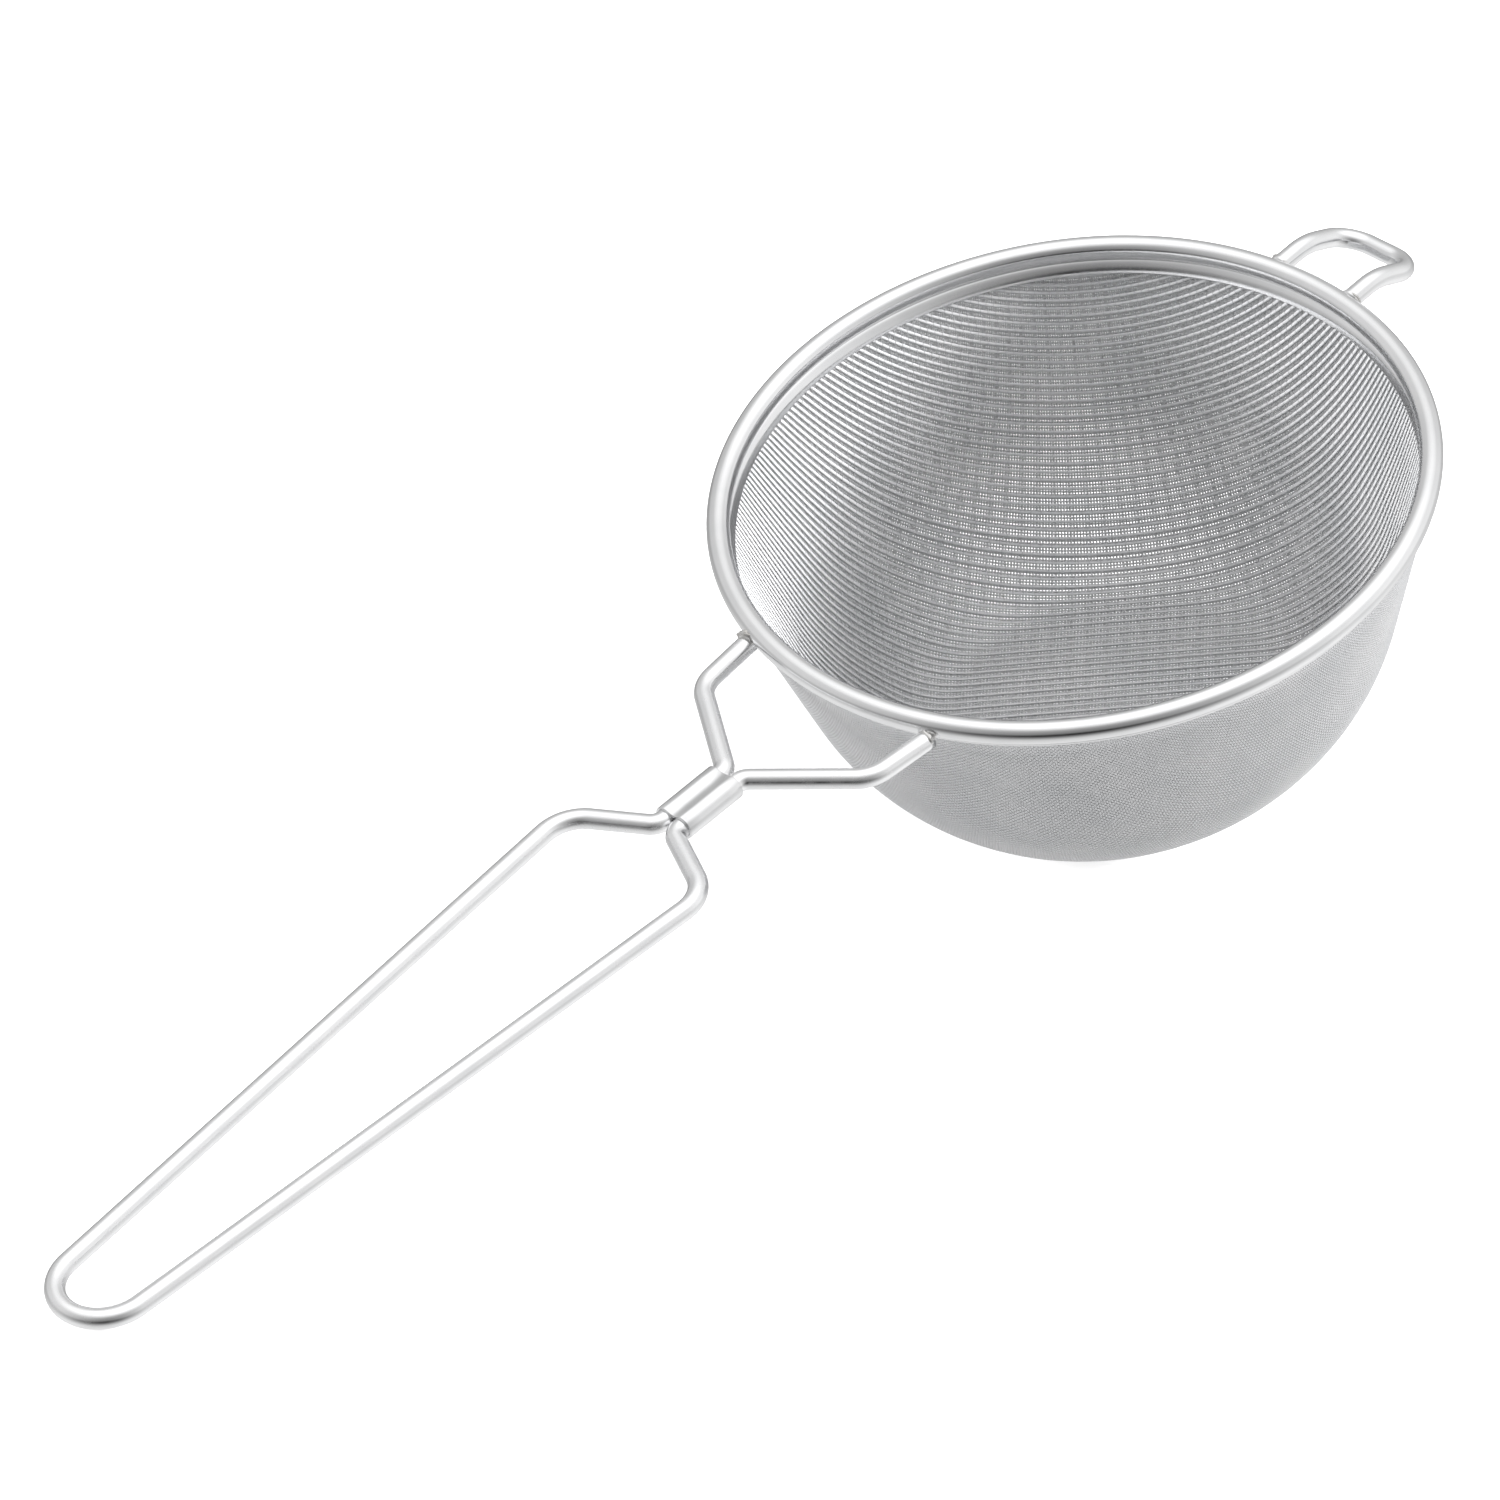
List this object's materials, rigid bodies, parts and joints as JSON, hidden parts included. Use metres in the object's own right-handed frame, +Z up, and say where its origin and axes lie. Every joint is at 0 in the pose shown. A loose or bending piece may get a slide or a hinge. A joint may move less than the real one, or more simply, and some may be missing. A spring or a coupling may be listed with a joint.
{
  "type": "tea strainer",
  "caption": "Tea strainer: a flat-bottomed woven-wire bowl in a rolled steel rim, with a looped wire handle held by a crimped clip and a bent wire rest hook.",
  "frame": {"origin": "bottom centre of the box round the strainer as it rests on a flat surface, on the round of its mesh base and the loop end of its handle", "axes": "+Y from the handle's loop end towards the rest hook, +Z up from the surface, X across; the bowl's own axis leans 15.07 degrees from +Z towards -Y"},
  "size_m": [0.1, 0.2489, 0.0642],
  "materials": {
    "rim_sheet": "polished stainless steel sheet",
    "ring_wire": "drawn stainless steel wire, hidden",
    "fine_cloth": "fine woven stainless steel wire cloth",
    "backing_cloth": "coarser woven stainless steel wire cloth",
    "handle_steel": "polished stainless steel wire",
    "clip_steel": "pressed and polished stainless steel sheet",
    "weld_metal": "small polished-over welds, slightly heat tinted"
  },
  "bodies": {
    "root": {"rim_band": "rim_sheet", "rim_core_ring": "ring_wire", "fine_mesh": "fine_cloth", "backing_mesh": "backing_cloth", "handle_wire": "handle_steel", "handle_clip": "clip_steel", "handle_welds": "weld_metal", "rest_hook": "handle_steel", "hook_welds": "weld_metal"}
  },
  "joints": []
}
